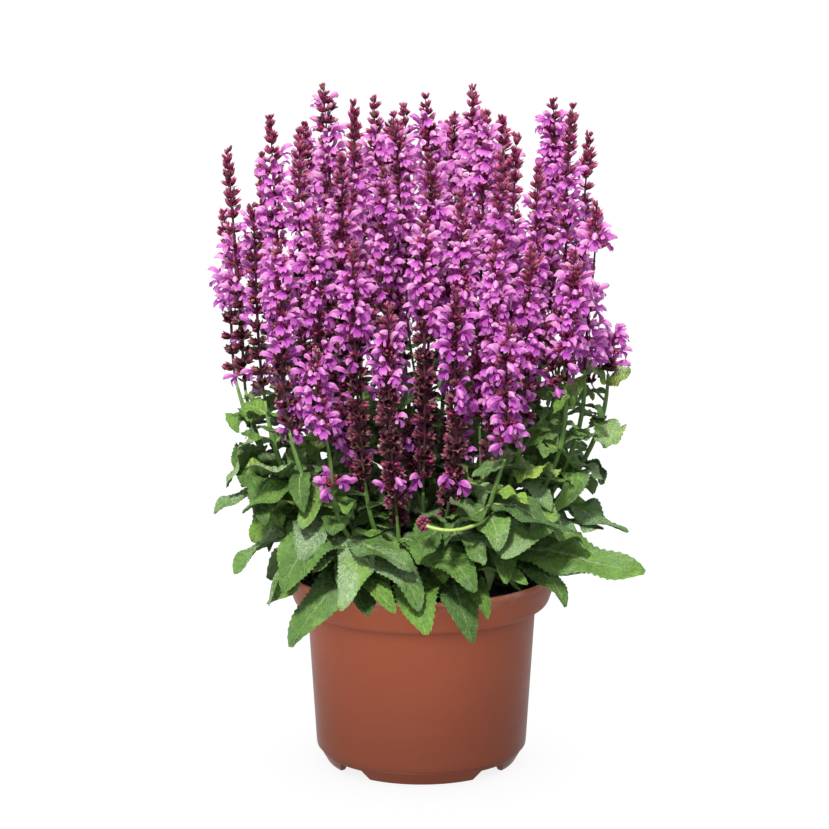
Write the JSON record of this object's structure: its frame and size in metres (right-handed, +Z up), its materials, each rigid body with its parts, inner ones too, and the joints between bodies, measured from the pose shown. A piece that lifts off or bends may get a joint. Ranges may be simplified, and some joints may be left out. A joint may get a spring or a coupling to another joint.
{
  "type": "potted perennial salvia plant",
  "caption": "Rose-pink flowering perennial salvia: upright flower spikes over toothed leaves on square stems, rooted in soil in a round terracotta-coloured nursery pot.",
  "frame": {"origin": "the pot's axis at the level its feet stand on", "axes": "+Z up along the pot's axis, -Y towards the viewer of the plant's front, +X to the viewer's right"},
  "size_m": [0.2877, 0.2679, 0.465],
  "materials": {
    "pot_plastic": "satin",
    "potting_soil": "matte",
    "green_leaf": "matte",
    "flower": "matte"
  },
  "bodies": {
    "root": {"pot": "pot_plastic", "soil": "potting_soil", "leafy_stems_01": "green_leaf", "leafy_stems_02": "green_leaf", "leafy_stems_03": "green_leaf", "leafy_stems_04": "green_leaf", "leafy_stems_05": "green_leaf", "leafy_stems_06": "green_leaf", "leafy_stems_07": "green_leaf", "leafy_stems_08": "green_leaf", "leafy_stems_09": "green_leaf", "leafy_stems_10": "green_leaf", "leafy_stems_11": "green_leaf", "leafy_stems_12": "green_leaf", "flower_spike_01": "flower", "flower_spike_02": "flower", "flower_spike_03": "flower", "flower_spike_04": "flower", "flower_spike_05": "flower", "flower_spike_06": "flower", "flower_spike_07": "flower", "flower_spike_08": "flower", "flower_spike_09": "flower", "flower_spike_10": "flower", "flower_spike_11": "flower", "flower_spike_12": "flower", "flower_spike_13": "flower", "flower_spike_14": "flower", "flower_spike_15": "flower", "flower_spike_16": "flower", "flower_spike_17": "flower", "flower_spike_18": "flower", "flower_spike_19": "flower", "flower_spike_20": "flower", "flower_spike_21": "flower", "flower_spike_22": "flower", "flower_spike_23": "flower", "flower_spike_24": "flower", "flower_spike_25": "flower", "flower_spike_26": "flower", "flower_spike_27": "flower", "flower_spike_28": "flower", "flower_spike_29": "flower", "flower_spike_30": "flower", "flower_spike_31": "flower", "flower_spike_32": "flower", "flower_spike_33": "flower", "flower_spike_34": "flower", "flower_spike_35": "flower", "flower_spike_36": "flower", "flower_spike_37": "flower", "flower_spike_38": "flower", "flower_spike_39": "flower", "flower_spike_40": "flower", "flower_spike_41": "flower", "flower_spike_42": "flower", "flower_spike_43": "flower", "flower_spike_44": "flower", "flower_spike_45": "flower", "flower_spike_46": "flower"}
  },
  "joints": []
}
